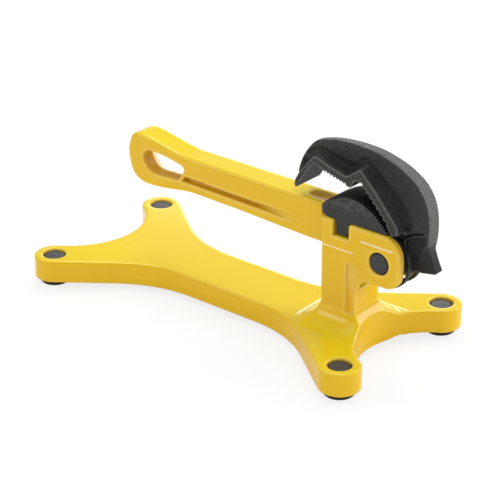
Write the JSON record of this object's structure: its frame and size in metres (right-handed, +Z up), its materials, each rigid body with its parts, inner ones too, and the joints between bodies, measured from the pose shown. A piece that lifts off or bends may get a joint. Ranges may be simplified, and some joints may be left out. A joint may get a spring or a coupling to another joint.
{
  "type": "bench pipe vise",
  "caption": "Cast bench stand on rubber feet with a looped handle and a post that carries a sprung, toothed hook jaw over a toothed heel jaw for gripping pipe.",
  "frame": {"origin": "bottom centre of the whole vise's box, on the surface that the four feet stand on", "axes": "+X along the stand from the handle's loop towards the jaws, +Y across the stand and along the pivot pin, away from the pin's flush head, +Z up"},
  "size_m": [0.3574, 0.1664, 0.1724],
  "materials": {
    "yellow_paint": "glossy yellow enamel over a smooth casting",
    "black_forging": "black, finely textured forging with lightly worn edges",
    "black_steel": "blackened steel, smoother than the hook, with a ground toothed crown",
    "pin_steel": "satin black pin",
    "spring_steel": "black oiled spring wire",
    "bronze": "plain bronze",
    "zinc": "zinc plated fasteners",
    "plug_plastic": "satin black moulded plug",
    "rubber": "matt black moulded rubber"
  },
  "bodies": {
    "frame": {"frame_casting": "yellow_paint", "handle_casting": "yellow_paint", "heel_jaw": "black_steel", "heel_screw": "zinc", "pivot_pin": "pin_steel", "pin_washer": "zinc", "pin_circlip": "spring_steel", "spring_left": "spring_steel", "spring_right": "spring_steel", "foot_front_left": "rubber", "foot_rear_left": "rubber", "foot_front_right": "rubber", "foot_rear_right": "rubber", "foot_stud_front_left": "zinc", "foot_stud_rear_left": "zinc", "foot_stud_front_right": "zinc", "foot_stud_rear_right": "zinc", "foot_washer_front_left": "zinc", "foot_washer_rear_left": "zinc", "foot_washer_front_right": "zinc", "foot_washer_rear_right": "zinc", "foot_nut_front_left": "zinc", "foot_nut_rear_left": "zinc", "foot_nut_front_right": "zinc", "foot_nut_rear_right": "zinc", "hole_plug_front_left": "plug_plastic", "hole_plug_rear_left": "plug_plastic", "hole_plug_front_right": "plug_plastic", "hole_plug_rear_right": "plug_plastic"},
    "hook": {"hook_jaw": "black_forging", "hook_bush": "bronze"}
  },
  "joints": [
    {"name": "hook_pivot", "type": "hinge", "parent": "frame", "child": "hook", "pos_m": [0.13549, 0, 0.0885], "axis": [0, 1, 0], "range_deg": [0, 55], "stiffness_Nm_per_rad": 2.4, "springref_deg": -20.05, "deforming": ["spring_left", "spring_right"]}
  ]
}
